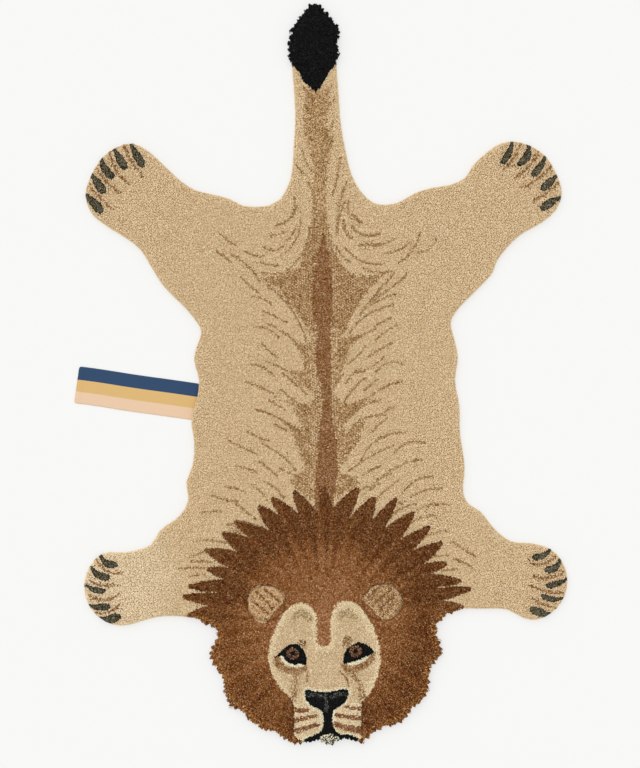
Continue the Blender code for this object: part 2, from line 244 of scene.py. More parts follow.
# mane locks over the back: degrees and millimetres of the valley before each lock, and of its tip
maneLocks = [
    (12.2, 248, 14.2, 315), (19.4, 239, 18.1, 299), (26.6, 243, 27.0, 285), (32.1, 244, 35.4, 300),
    (40.8, 240, 43.3, 302), (48.9, 239, 51.9, 301), (58.5, 240, 60.8, 306), (65.9, 238, 69.0, 289),
    (77.4, 229, 76.2, 297), (86.1, 247, 90.8, 289), (93.1, 232, 102.9, 290), (103.1, 240, 112.5, 290),
    (112.0, 246, 119.3, 286), (120.3, 232, 130.9, 290), (130.8, 243, 137.9, 290),
    (139.9, 240, 147.6, 298), (149.1, 236, 154.2, 274), (155.3, 232, 164.0, 298),
    (162.7, 232, 168.5, 304), (169.9, 244, 176.2, 290),
]
firstTip = (7.7, 292)
lockBulge, lockBlunt = 0.0042, 0.0036
lockSteps = (0.12, 0.30, 0.50, 0.70, 0.88, 0.97)  # from a valley to a tip
maneSides = metres([(-276, -507), (-276, -950), (300, -950), (300, -492)])  # down past the rug's rim


def polar(angle, reach):
    turn = math.radians(angle)
    return headMiddle + reach / 1000 * np.array([math.cos(turn), math.sin(turn)])


def maneLoop():  # full blades with blunt tips, then straight down past the rug's rim on both sides
    tips = [polar(*firstTip)] + [polar(*lock[2:]) for lock in maneLocks]
    line = [tips[0]]
    for i, lock in enumerate(maneLocks):
        valley = polar(*lock[:2])
        for tip, way, steps in ((tips[i], 1, lockSteps[::-1]), (tips[i + 1], -1, lockSteps)):
            run = tip - valley
            side = np.array([-run[1], run[0]]) / np.hypot(*run) * way
            swell = [lockBulge * 4 * s * (1 - s) + lockBlunt * s**4 for s in steps]
            line += [valley + run * s + side * wide for s, wide in zip(steps, swell)]
            if way == 1:
                line.append(valley)
        line.append(tips[i + 1])
    return np.array(line + maneSides)


# the stripe along the spine: along, middle, half width
spineStripe = metres([
    (302, 6, 1), (280, 6, 5), (260, 6, 9), (240, 5, 15), (220, 4, 18), (200, 3, 21), (160, 3, 23),
    (120, 3, 21), (100, 6, 16), (80, 7, 15), (40, 6, 18), (0, 7, 15), (-20, 11, 11), (-60, 12, 10),
    (-100, 12, 14), (-120, 12, 17), (-140, 14, 20), (-180, 14, 22), (-200, 12, 24), (-250, 8, 21),
])
# feathers of speckled shade that grow out of the spine
shadeFeathers = {
    "tail": metres([
        (-30, 588), (6, 600), (17, 588), (13, 523), (24, 487), (21, 462), (14, 430), (13, 339), (18, 305),
        (16, 270), (-20, 270), (-20, 309), (-17, 339), (-18, 385), (-13, 430), (-22, 462), (-30, 490),
        (-33, 523),
    ]),
    "leftHip": metres([
        (-19, 300), (-23, 280), (-32, 260), (-38, 240), (-47, 222), (-70, 212), (-95, 206), (-118, 198),
        (-105, 186), (-90, 175), (-72, 156), (-56, 135), (-45, 120), (-34, 100), (-24, 82), (-14, 68),
        (4, 60), (4, 300),
    ]),
    "rightHip": metres([
        (11, 300), (20, 280), (30, 256), (37, 240), (44, 229), (57, 214), (76, 206), (97, 205),
        (124, 203), (110, 190), (96, 174), (86, 155), (75, 136), (62, 118), (56, 100), (48, 84), (36, 68),
        (4, 60), (4, 300),
    ]),
    "leftLoin": metres([
        (-54, 68), (-46, 48), (-39, 34), (-34, 18), (-28, 0), (4, -10), (4, 85), (-18, 76), (-30, 62),
    ]),
    "rightLoin": metres([
        (90, 84), (76, 70), (63, 54), (56, 36), (50, 18), (45, 0), (36, -20), (27, -36), (4, -42),
        (4, 85), (42, 74), (62, 78),
    ]),
    "leftRib": metres([
        (-64, 5), (-49, -6), (-40, -20), (-28, -34), (-14, -46), (4, -52), (4, 20), (-32, 18), (-45, 8),
    ]),
    "rightRib": metres([
        (102, -47), (86, -62), (74, -78), (62, -92), (50, -104), (42, -116), (4, -120), (4, -30),
        (26, -36), (37, -52), (56, -61), (78, -54),
    ]),
    "leftFlank": metres([
        (-72, -55), (-58, -70), (-52, -82), (-42, -96), (-34, -108), (-20, -116), (4, -118), (4, -40),
        (-10, -43), (-22, -62), (-42, -61),
    ]),
    "leftShoulder": metres([
        (-80, -103), (-63, -118), (-57, -134), (-49, -150), (-42, -166), (-34, -184), (-36, -200),
        (-60, -222), (-36, -250), (4, -262), (4, -100), (-26, -108), (-46, -112),
    ]),
    "rightShoulder": metres([
        (96, -96), (87, -114), (81, -130), (74, -146), (64, -162), (54, -178), (41, -194), (44, -206),
        (74, -220), (50, -250), (4, -262), (4, -112), (42, -112), (54, -123), (66, -113), (80, -103),
    ]),
}
# fur streaks: start x, start y, end x, end y, bow
leftStreaks = metres([
    (-211, 294, -173, 267, -2), (-218, 258, -188, 235, 0), (-186, 250, -126, 190, 6),
    (-167, 201, -130, 169, 0), (-156, 255, -120, 247, -4), (-121, 267, -79, 267, -9),
    (-104, 288, -73, 297, -2), (-96, 309, -51, 354, -11), (-126, 233, -86, 228, -3),
    (-122, 211, -69, 214, -4), (-83, 246, -41, 324, -11), (-69, 218, -24, 303, -11),
    (-145, 160, -101, 144, 5), (-122, 132, -69, 105, 2), (-111, 184, -30, 69, 12), (-137, 98, -86, 73, 8),
    (-111, 105, -30, 43, 6), (-122, 64, -90, 34, -2), (-145, 19, -98, -5, 7), (-115, 26, -43, -19, 7),
    (-81, 2, -30, -42, 2), (-154, -17, -90, -48, 3), (-81, -34, -24, -70, -4), (-107, -55, -77, -73, 0),
    (-137, -74, -34, -134, 9), (-152, -121, -107, -141, -1), (-94, -106, -69, -120, 0),
    (-192, -140, -133, -167, 1), (-124, -145, -51, -202, 6), (-179, -192, -128, -210, 4),
    (-128, -183, -90, -214, 1), (-86, -196, -43, -219, 0), (-198, -234, -154, -248, 2),
    (-145, -230, -111, -264, 3), (-117, -225, -78, -258, 4), (-71, 278, -51, 309, -3),
    (-226, -254, -170, -266, -2), (-249, -288, -209, -286, 0), (-194, -313, -175, -319, 2),
    (-162, -283, -135, -302, 1), (-256, -348, -188, -354, 3), (-273, -380, -243, -371, -1),
    (-271, -392, -224, -393, 1), (-294, -405, -243, -405, 0), (-275, -423, -241, -417, 1),
    (-175, -273, -158, -283, 0), (-158, -332, -188, -322, 2),
])
rightStreaks = metres([
    (34, 290, 51, 363, 4), (68, 282, 47, 322, 5), (85, 317, 62, 335, 0), (117, 292, 66, 306, 10),
    (153, 283, 81, 270, 9), (185, 275, 130, 252, 6), (209, 294, 162, 230, 6), (241, 282, 204, 254, 8),
    (32, 269, 62, 233, -5), (132, 230, 49, 267, 14), (147, 214, 89, 221, 6), (179, 209, 147, 183, 3),
    (153, 209, 81, 123, -2), (158, 167, 98, 140, -3), (153, 144, 59, 85, -12), (113, 95, 53, 68, 3),
    (145, 115, 111, 98, -2), (158, 103, 115, 70, -2), (149, 64, 98, 36, -1), (94, 60, 59, 21, 2),
    (130, 34, 76, 2, 4), (175, 19, 115, 4, -12), (83, 9, 51, -23, -5), (94, -8, 49, -60, -5),
    (119, -10, 89, -35, 0), (170, -15, 106, -45, -5), (123, -55, 68, -82, -5), (153, -68, 119, -90, -2),
    (136, -85, 55, -129, -15), (140, -91, 102, -124, -1), (175, -123, 132, -131, -4),
    (136, -128, 85, -180, -9), (217, -143, 153, -165, -11), (149, -149, 59, -201, -3),
    (209, -179, 136, -210, -7), (234, -215, 183, -235, -7), (123, -192, 89, -210, -1),
    (147, -209, 111, -227, -3), (251, -239, 188, -256, -5), (111, -230, 59, -261, -4),
    (153, 184, 106, 150, -1), (68, 132, 47, 90, -2), (124, -228, 90, -250, -2),
    (163, -223, 114, -262, -2), (183, -234, 165, -254, -1), (199, -272, 143, -301, -7),
    (267, -273, 200, -284, -6), (239, -295, 184, -312, -4), (267, -326, 218, -339, -2),
    (271, -349, 323, -380, 0), (276, -386, 318, -405, 3), (267, -379, 223, -386, -3),
    (284, -408, 250, -410, -2), (79, -226, 60, -245, -2), (148, -283, 175, -267, 3),
])
tailStreaks = metres([
    (23, 603, 12, 583, 0), (31, 576, 11, 547, -2), (27, 527, 5, 488, 1), (27, 489, 15, 462, 0),
    (-35, 597, -14, 571, -1), (-32, 559, -5, 533, -2), (-38, 465, -17, 421, -4), (-51, 437, -32, 416, -2),
    (41, 450, 25, 373, 1), (54, 401, 35, 296, -6), (60, 361, 84, 317, -15), (65, 308, 124, 293, -12),
    (48, 321, 66, 281, -8), (81, 267, 124, 270, 2), (-57, 367, -60, 327, 5), (-34, 505, -14, 477, 2),
    (0, 480, 0, 431, 2), (-29, 401, -14, 364, 4), (18, 487, 2, 444, 3),
])
# claws: as streaks from the rug's rim inward, then the half width
claws = metres([
    (-396, 479, -373, 436, 0, 8.4), (-430, 467, -409, 432, 0, 8.8), (-457, 451, -436, 412, -5, 8),
    (-476, 414, -455, 382, 0, 9.5), (-488, 372, -460, 342, 0, 10), (399, 483, 379, 442, 4, 6.8),
    (433, 477, 416, 440, 7, 8.3), (468, 451, 444, 416, 2, 7.8), (490, 412, 464, 387, 0, 8.3),
    (500, 368, 464, 347, -1, 8.7), (-459, -379, -429, -398, -7, 7.6), (-477, -405, -446, -424, -5, 8),
    (-489, -441, -453, -453, -3, 6.6), (-481, -484, -444, -485, -2, 7.6), (-464, -510, -423, -506, -4, 9),
    (478, -366, 446, -382, 5, 6.6), (500, -384, 471, -409, 8, 7.4), (514, -427, 474, -442, 2, 6.3),
    (505, -468, 464, -464, 4, 6.2), (478, -501, 442, -491, 2, 8.8),
])
toeLines = metres([
    (-411, 477, -372, 414, -4), (-440, 464, -400, 397, -9), (-469, 430, -420, 378, -3),
    (-485, 392, -434, 342, 0), (417, 480, 380, 424, 4), (455, 465, 405, 408, 6), (483, 435, 423, 389, 4),
    (499, 402, 443, 361, 3), (-469, -386, -416, -416, -10), (-478, -434, -426, -440, -4),
    (-486, -462, -420, -460, -10), (-470, -498, -422, -485, -6), (491, -379, 438, -396, 8),
    (507, -412, 445, -422, 8), (504, -457, 437, -441, 4), (491, -488, 440, -467, 3),
])
tailTip = metres([
    (-75, 640), (-58, 642), (-47, 630), (-35, 609), (-22, 598), (-10, 587), (2, 601), (14, 622),
    (22, 634), (33, 645), (60, 640), (60, 800), (-75, 800),
])

faceShapes = {
    "cream": metres([
        (-5, -565), (-8, -556), (-9, -544), (-9, -506), (-17, -489), (-29, -480), (-42, -477),
        (-58, -482), (-73, -494), (-85, -510), (-95, -530), (-104, -554), (-109, -578), (-109, -602),
        (-102, -624), (-93, -643), (-85, -655), (-70, -669), (-59, -681), (-56, -704), (-56, -747),
        (-37, -766), (10, -778), (60, -778), (79, -763), (85, -750), (85, -706), (90, -682), (102, -665),
        (110, -650), (118, -630), (123, -606), (125, -582), (120, -558), (112, -534), (100, -510),
        (86, -489), (69, -476), (52, -473), (35, -479), (26, -494), (21, -510), (20, -544), (20, -557),
        (17, -565), (6, -567),
    ]),
    "leftBrow": metres([
        (-62, -510), (-55, -497), (-42, -491), (-26, -496), (-17, -512), (-27, -516), (-34, -509),
        (-43, -507), (-56, -511),
    ]),
    "rightBrow": metres([
        (33, -511), (38, -497), (52, -490), (65, -491), (76, -502), (75, -512), (61, -510), (50, -507),
        (40, -513),
    ]),
    "leftEye": metres([
        (-98, -593), (-92, -586), (-80, -575), (-68, -566), (-58, -562), (-46, -565), (-37, -574),
        (-31, -586), (-29, -599), (-32, -607), (-42, -604), (-54, -605), (-66, -602), (-74, -595),
        (-79, -588), (-87, -588),
    ]),
    "rightEye": metres([
        (48, -603), (47, -592), (51, -580), (59, -569), (69, -563), (78, -559), (90, -561), (102, -568),
        (112, -579), (104, -584), (93, -590), (80, -596), (66, -600),
    ]),
    "leftEyeWhite": metres([
        (-85, -586), (-79, -587), (-75, -595), (-66, -601), (-54, -604), (-42, -603), (-36, -606),
        (-38, -610), (-54, -611), (-67, -608), (-79, -599),
    ]),
    "rightEyeWhite": metres([
        (106, -582), (93, -589), (80, -596), (66, -600), (55, -603), (62, -607), (77, -605), (92, -597),
        (102, -588),
    ]),
    "leftEyePatch": metres([(-51, -559), (-38, -553), (-31, -557), (-31, -574), (-40, -568)]),
    "rightEyePatch": metres([
        (45, -562), (49, -549), (57, -545), (67, -552), (65, -562), (56, -572), (47, -570),
    ]),
    "nose": metres([
        (-31, -658), (-13, -661), (7, -662), (26, -661), (45, -657), (57, -659), (56, -672), (51, -683),
        (39, -693), (28, -699), (23, -705), (14, -708), (5, -704), (-7, -697), (-22, -689), (-31, -677),
    ]),
    "mouth": metres([
        (4, -698), (6, -716), (5, -734), (-2, -746), (-19, -755), (-32, -761), (-37, -769), (-30, -790),
        (66, -790), (71, -770), (79, -762), (76, -757), (57, -752), (39, -750), (26, -736), (24, -716),
        (25, -698),
    ]),
    "chin": metres([
        (-4, -760), (6, -753), (18, -748), (29, -753), (40, -761), (36, -772), (22, -784), (4, -778),
    ]),
    "leftEar": metres([
        (-152, -474), (-148, -457), (-138, -445), (-122, -441), (-105, -443), (-85, -452), (-75, -463),
        (-77, -474), (-88, -486), (-100, -498), (-108, -511), (-117, -519), (-128, -517), (-142, -506),
        (-150, -491),
    ]),
    "rightEar": metres([
        (86, -468), (97, -455), (110, -443), (128, -436), (145, -439), (159, -449), (168, -464),
        (170, -481), (162, -497), (147, -510), (131, -515), (119, -503), (107, -491), (95, -479),
    ]),
}
irisPlaces = metres([(-58.5, -583), (72.9, -578)])
irisRadius, pupilRadius = 0.0130, 0.0045
# soft shading of the face: a line, its half width in metres and how deep it gets along its middle
faceShading = [
    (metres([(-93, -594), (-87, -606), (-68, -617), (-47, -619), (-35, -612)]), 0.012, 0.66),
    (metres([(106, -586), (98, -600), (80, -612), (62, -617), (50, -609)]), 0.0125, 0.72),
    (metres([(-46, -618), (-52, -634), (-54, -655), (-55, -676)]), 0.012, 0.42),
    (metres([(62, -620), (75, -638), (84, -655), (87, -680)]), 0.012, 0.42),
    (metres([(-26, -622), (-29, -632), (-28, -641)]), 0.0034, 0.55),
    (metres([(40, -621), (50, -630), (56, -640), (57, -654)]), 0.003, 0.7),
]
whiskers = metres([
    (-56, -699, -27, -700, -1, 4.6), (-56, -722, -9, -712, 1, 4.3), (-49, -744, -6, -732, 2, 4.8),
    (84, -697, 51, -693, 1, 3.2), (87, -717, 32, -710, 1, 4.3), (87, -743, 29, -729, 2, 6.6),
])
muzzleLines = [
    metres([(-60, -682), (-58, -709), (-58, -748)]),
    metres([(88, -684), (87, -709), (86, -750)]),
]
earStripes = metres([
    (-146, -470, -110, -500, 1, 2.6), (-134, -453, -102, -488, 1, 2.6), (-118, -447, -87, -473, 0, 2.6),
    (121, -444, 98, -466, 0, 2.6), (146, -449, 116, -474, 0, 2.6), (152, -461, 126, -487, 0, 2.6),
])
lipLine = metres([(15, -700), (15, -742)])
eyePatches = [
    ("leftEyePatch", "toe", 0.70),
    ("rightEyePatch", "olive", 0.90),
    ("rightEyePatch", "bag", 0.50),
]
noseShine = metres([
    (-26, -668, 0, -671, 0, 4.6), (22, -673, 50, -668, 3, 4.2), (10, -666, 12, -700, 0, 4.4),
])

# the yarns: the color that each shows on a screen, 0 to 255, and how far one tuft strays from it
yarns = {
    "sand": ((207, 183, 146), 3),
    "shade": ((154, 120, 78), 12),
    "shadePale": ((187, 156, 114), 12),
    "streak": ((157, 126, 84), 12),
    "spine": ((148, 107, 68), 11),
    "toe": ((145, 109, 69), 12),
    "maneDark": ((112, 69, 28), 11),
    "maneDusk": ((132, 86, 42), 12),
    "maneMiddle": ((147, 100, 56), 12),
    "maneLight": ((166, 118, 74), 12),
    "maneGold": ((164, 116, 60), 13),
    "stripe": ((168, 121, 81), 12),
    "cream": ((208, 186, 150), 9),
    "creamLight": ((220, 202, 168), 9),
    "white": ((232, 216, 190), 7),
    "whisker": ((143, 100, 66), 13),
    "bag": ((148, 109, 70), 13),
    "tear": ((172, 141, 100), 12),
    "olive": ((174, 151, 111), 11),
    "earTan": ((198, 164, 121), 13),
    "earBrown": ((133, 97, 61), 12),
    "iris": ((126, 89, 62), 12),
    "black": ((16, 16, 15), 3),
    "grey": ((68, 68, 64), 10),
    "claw": ((96, 89, 67), 12),
    "clawDark": ((65, 60, 46), 9),
}
yarnNames = list(yarns)
yarnColors = np.array([yarns[name][0] for name in yarnNames], float)
yarnSpread = np.array([yarns[name][1] for name in yarnNames])
yarnNumber = {name: i for i, name in enumerate(yarnNames)}


# how the drawing is tufted: lengths in metres, and shares of a place's tufts from 0 to 1
drawing = {
    "strandPitch": 0.006,
    "strandFray": 0.002,
    "shadeEdge": 0.009,
    "shadeDeep": 0.43,
    "clearHalf": 0.036,
    "clearShare": 0.30,
    "streakHalf": 0.0027,
    "streakShare": 0.42,
    "stripeEdge": 0.006,
    "stripeShare": 0.98,
    "toeHalf": 0.0030,
    "toeShare": 0.45,
    "clawRoot": 0.46,
    "clawTip": 0.76,
    "clawRim": 0.0026,
    "goldShare": (0.38, 0.50),
    "earRim": 0.0040,
    "faceFray": 0.0012,
    "faceRim": 0.0032,
    "faceGlow": 0.020,
    "muzzleTop": -0.67,
    "end": -0.80,
}
# the mane's tones: where the rays and the dark locks start, how far they run and how strong they get
maneTone = {
    "rayStart": 0.09,
    "rayRun": 0.05,
    "rayStrength": 0.62,
    "rayFade": 0.36,
    "darkStart": 0.132,
    "darkRun": 0.082,
    "darkWander": 0.010,
    "darkest": 0.96,
    "lowLeft": 0.48,
    "lowRight": 0.14,
}
honeycombRise = math.sqrt(0.75)  # from one row of tufts to the next, for tufts one apart


def drawLion(places, rng, rimShare):  # the number of the yarn that each place on the rug is tufted with
    x, y = places.T
    picks = np.full(len(places), yarnNumber["sand"])

    def chance():
        return rng.random(len(places))

    def paint(where, name, share=1.0):
        picks[where & (chance() < share)] = yarnNumber[name]

    def inShape(name):
        return insideShape(places, faceShapes[name])

    def gapTo(line):
        return lineDistance(places, line)[0]

    # the shade's feathers, paler beside the spine, then the streaks and the stripe
    strands = Ripple(3)((y - 0.9 * np.abs(x)) / drawing["strandPitch"])
    shaded = np.zeros(len(places))
    for corners in shadeFeathers.values():
        edge = smoothLine(corners, 4, closed=True)
        depth = gapTo(edge) * np.where(insideLoop(places, edge), 1, -1)
        depth += drawing["strandFray"] * strands
        shaded = np.maximum(shaded, fade(0.5 + depth / drawing["shadeEdge"]))
    columns, lines = x / pile["bodyPitch"], y / (pile["bodyPitch"] * honeycombRise)
    evenly = (0.35 * columns + 0.49 * lines + 0.35 * chance()) % 1  # neighbours take turns
    beside = np.abs(x - 0.006)
    shaded *= 1 - drawing["clearShare"] * fade(1.4 - beside / drawing["clearHalf"]) * fade((0.13 - y) / 0.05)
    paint(evenly < shaded, "shadePale")
    deep = drawing["shadeDeep"] + 0.08 * fade(1 - beside / 0.07) - 0.34 * fade((y - 0.30) / 0.05)
    paint(evenly < shaded * (deep + 0.14 * strands), "shade")
    for strokes in (leftStreaks, rightStreaks, tailStreaks):
        paint(onStrokes(places, strokes, drawing["streakHalf"]), "streak", drawing["streakShare"])
    rows = np.array(spineStripe)[::-1]
    offset = np.abs(x - np.interp(y, rows[:, 0], rows[:, 1]))
    stripe = fade(0.5 + (np.interp(y, rows[:, 0], rows[:, 2]) - offset) / drawing["stripeEdge"])
    stripe *= (y < 0.302) & (y > -0.30)
    paint(evenly < stripe, "shade")
    paint(evenly < stripe * (drawing["stripeShare"] - 0.30 * fade(1 - np.abs(y + 0.035) / 0.06)), "spine")
    # paws
    paint(onStrokes(places, toeLines, 0.0095), "toe", 0.05)
    paint(onStrokes(places, toeLines, drawing["toeHalf"]), "toe", drawing["toeShare"])
    for *stroke, halfWidth in claws:
        distance, along = lineDistance(places, strokeLine(*stroke))
        bulge = halfWidth * (drawing["clawRoot"] + (1 - drawing["clawRoot"]) * fade(along / 0.60))
        bulge *= np.where(along > 0.97, drawing["clawTip"], 1)
        paint(distance < bulge, "clawDark")
        paint(distance < bulge - drawing["clawRim"], "claw", 0.85)
    paint(insideLoop(places, np.array(tailTip)), "black")
    # the mane: red-brown at the face and dark towards the locks, with a paler ray out to each valley
    offsetX, offsetY = x - headMiddle[0], y - headMiddle[1]
    reach, angle = np.hypot(offsetX, offsetY), np.degrees(np.arctan2(offsetY, offsetX))
    mane = insideLoop(places, maneLoop())
    valleys = np.array([lock[0] for lock in maneLocks])
    nearest = np.clip(np.searchsorted(valleys, angle), 1, len(valleys) - 1)
    spacing = valleys[nearest] - valleys[nearest - 1]
    highRay = np.clip(np.abs(2 * (angle - valleys[nearest - 1]) / spacing - 1), 0, 1)
    highRay += 0.5 * Ripple(6)(angle / 2.1)
    lowRay = 0.5 + 0.46 * Ripple(8)(angle / 4.0) + 0.26 * Ripple(9)(angle / 1.7)
    ray = np.where(angle > 0, highRay, lowRay)
    band = fade((reach - maneTone["rayStart"]) / maneTone["rayRun"])
    band *= 1 - maneTone["rayFade"] * fade((reach - 0.165) / maneTone["rayRun"]) * (angle > 0)
    wander = maneTone["darkWander"] * Ripple(5)(angle / 6.5)
    depth = fade((reach - maneTone["darkStart"] + wander) / maneTone["darkRun"])
    lowSide = fade((np.abs(offsetX) - 0.02) / 0.08) * fade((0.02 - offsetY) / 0.05)
    lowSide *= np.where(offsetX < 0, maneTone["lowLeft"], maneTone["lowRight"])
    level = depth * (maneTone["darkest"] - lowSide) - maneTone["rayStrength"] * (ray - 0.5) * band
    tone = np.floor(2 * np.clip(level, 0, 1) + chance())
    paint(mane, "maneMiddle")
    paint(mane & (chance() < 0.20 - 0.9 * level), "maneLight")
    paint(mane & (tone == 1), "maneDusk")
    paint(mane & (tone >= 2), "maneDark")
    leftGold, rightGold = drawing["goldShare"]
    golden = np.where(offsetX > 0, rightGold, leftGold)
    paint(mane & (offsetY < 0.03) & (chance() < rimShare), "maneGold", golden)
    # ears
    for side, toeShare in (("leftEar", 0.03), ("rightEar", 0.38)):
        ear = inShape(side)
        rim = gapTo(smoothLine(faceShapes[side], 5, closed=True))
        paint(mane & ~ear & (rim < 0.0024), "maneDark", 0.25)
        paint(ear, "earTan")
        paint(ear, "toe", toeShare)
        paint(ear, "earBrown", 0.06)
        paint(ear & (rim < drawing["earRim"]), "cream", 0.35)
        for *stroke, halfWidth in earStripes:
            paint(ear & (gapTo(strokeLine(*stroke)) < halfWidth), "earBrown", 0.85)
    # face
    outline = smoothLine(faceShapes["cream"], 5, closed=True)
    rim = gapTo(outline)
    brow = y > drawing["muzzleTop"]
    frayed = places + rng.normal(0, drawing["faceFray"], places.shape) * brow[:, None]
    face = insideLoop(frayed, outline) & (y > drawing["end"])
    paint(mane & (np.abs(x - 0.006) < 0.022) & (y > -0.572) & (y < -0.485), "stripe", 0.85)
    glow = fade(1 - np.hypot(x - 0.006, (y + 0.475) * 1.3) / 0.085) * (y > -0.485)
    paint(mane & (chance() < 0.45 * glow), "stripe")
    paint((rim < drawing["faceRim"]) & mane & ~face & brow, "stripe", 0.6)
    paint(face, "cream")
    paint(face & (chance() < 1.1 * fade(1 - rim / drawing["faceGlow"])), "creamLight")
    paint(face & (y < -0.685), "creamLight", 0.70)
    for name in ("leftBrow", "rightBrow"):
        paint(inShape(name), "olive", 0.70)
    for line, halfWidth, deepest in faceShading:
        tint = fade(1.25 * (1 - gapTo(smoothLine(line)) / halfWidth)) * deepest
        paint(face & (chance() < 1.5 * tint), "tear")
        paint(face & (chance() < 1.5 * (tint - 0.30)), "bag")
    for name, halo in (("nose", 0.0062), ("mouth", 0.0050)):
        gap = gapTo(smoothLine(faceShapes[name], 5, closed=True))
        paint(face & (gap < halo), "creamLight")
        paint(face & (gap < halo * 0.7), "white", 0.5)
    paint(face & (gapTo(smoothLine(lipLine)) < 0.018), "white", 0.55)
    for *stroke, halfWidth in whiskers:
        distance, along = lineDistance(places, strokeLine(*stroke))
        paint(distance < halfWidth * (1.25 - 0.40 * along), "whisker", 0.92)
    for line in muzzleLines:
        paint(gapTo(smoothLine(line)) < 0.0024, "maneDark", 0.95)
    for name, yarn, share in eyePatches:
        paint(inShape(name), yarn, share)
    for name in ("leftEyeWhite", "rightEyeWhite"):
        paint(inShape(name), "white")
    for name in ("leftEye", "rightEye", "nose", "mouth"):
        paint(inShape(name), "black")
    for middle in irisPlaces:
        gap = np.hypot(*(places - middle).T)
        paint(gap < irisRadius, "iris")
        paint(gap < irisRadius, "black", 0.20)
        paint(gap < pupilRadius, "black")
    for *stroke, halfWidth in noseShine:
        paint(gapTo(strokeLine(*stroke)) < halfWidth, "grey", 0.75)
    chin = inShape("chin")
    paint(chin, "white")
    paint(chin, "black", 0.45)
    return picks


# the pile: tufts on the CAD rug's top and sides, in metres
pile = {
    "bodyPitch": 0.00318,
    "manePitch": 0.00290,
    "facePitch": 0.00250,
    "sidePitch": 0.0021,
    "rowPitch": 0.0025,
    "rowScatter": 0.00070,
    "rowRise": 0.0007,
    "jitter": 0.15,
    "bodyLength": 0.0075,
    "maneLength": 0.0110,
    "bodyGirth": 0.0041,
    "maneGirth": 0.0040,
    "faceGirth": 0.0033,
    "tailShagGirth": 0.62,
    "maneShagGirth": 0.48,
    "maneLean": 0.40,
    "tailLean": 0.25,
    "strayLean": 0.10,
    "strayHeight": 0.00035,
    "grooveDepth": 0.0018,
    "grooveHalf": 0.0020,
    "lowestRoot": 0.0012,
    "steepSlope": 0.62,
    "sideStart": 0.0016,
    "sideInset": 0.0030,
    "rimHeight": 0.012,
    "rimWidth": 0.0075,
    "lightLoss": 0.80,
    "seed": 21,
}
rng = np.random.default_rng(pile["seed"])
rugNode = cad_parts["tufted_rug"]
rugMesh = rugNode.data
corners = np.empty(len(rugMesh.vertices) * 3)
rugMesh.vertices.foreach_get("co", corners)
corners = corners.reshape(-1, 3)
rugMesh.calc_loop_triangles()
triangles = np.array([list(t.vertices) for t in rugMesh.loop_triangles])
rugTree = BVHTree.FromPolygons([Vector(c) for c in corners], [list(map(int, t)) for t in triangles])


def hexGrid(low, high, pitch):
    rows = np.arange(low[1], high[1], pitch * honeycombRise)
    columns = np.arange(low[0], high[0], pitch)
    grid = np.array([(x + 0.5 * pitch * (i % 2), y) for i, y in enumerate(rows) for x in columns])
    return grid + rng.uniform(-1, 1, grid.shape) * pitch * pile["jitter"]


def landed(grid):  # the places of a grid that lie on the rug, with the height and the slope there
    tips, normals = [], []
    for x, y in grid:
        hit, normal, _, _ = rugTree.ray_cast(Vector((x, y, 0.2)), Vector((0, 0, -1)))
        if hit is not None:
            tips.append(hit)
            normals.append(normal)
    return np.array(tips), np.array(normals)


def sidePlaces(pitch):  # an even scatter over the rug's steep sides
    a, b, c = (corners[triangles[:, i]] for i in range(3))
    cross = np.cross(b - a, c - a)
    area = np.linalg.norm(cross, axis=1) / 2
    normal = cross / np.maximum(2 * area, 1e-12)[:, None]
    steep = (np.abs(normal[:, 2]) < pile["steepSlope"]) & ((a + b + c)[:, 2] / 3 > pile["sideStart"])
    number = int(area[steep].sum() / pitch**2 * 6)
    chosen = rng.choice(np.flatnonzero(steep), number, p=area[steep] / area[steep].sum())
    u, v = np.sqrt(rng.random(number)), rng.random(number)
    shares = (1 - u, u * (1 - v), u * v)
    spots = sum(corner[chosen] * share[:, None] for corner, share in zip((a, b, c), shares))
    cells, keep = {}, []
    for i, spot in enumerate(spots):
        key = tuple(np.floor(spot / pitch).astype(int))
        around = product(*((k - 1, k, k + 1) for k in key))
        near = [j for cell in around for j in cells.get(cell, ())]
        if all(((spots[j] - spot) ** 2).sum() > pitch**2 for j in near):
            cells.setdefault(key, []).append(i)
            keep.append(i)
    return spots[keep], normal[chosen][keep]


def isFine(places):  # the face, the ears and the toes are tufted finer
    shapes = [faceShapes[name] for name in ("cream", "leftEar", "rightEar")]
    fine = np.any([insideShape(places, shape) for shape in shapes], axis=0)
    fine |= onStrokes(places, [claw[:5] for claw in claws], 0.0125)
    return fine & (places[:, 1] > drawing["end"])


def yarnRows(strokes, pitch):  # single rows of tufts along the drawn streaks
    rows = []
    for stroke in strokes:
        line = strokeLine(*stroke, steps=40)
        gone = np.concatenate([[0], np.cumsum(np.hypot(*np.diff(line, axis=0).T))])
        stops = np.arange(0, gone[-1], pitch)
        rows.append(np.stack([np.interp(stops, gone, line[:, 0]), np.interp(stops, gone, line[:, 1])], 1))
    rows = np.concatenate(rows)
    return rows + rng.normal(0, pile["rowScatter"], rows.shape)


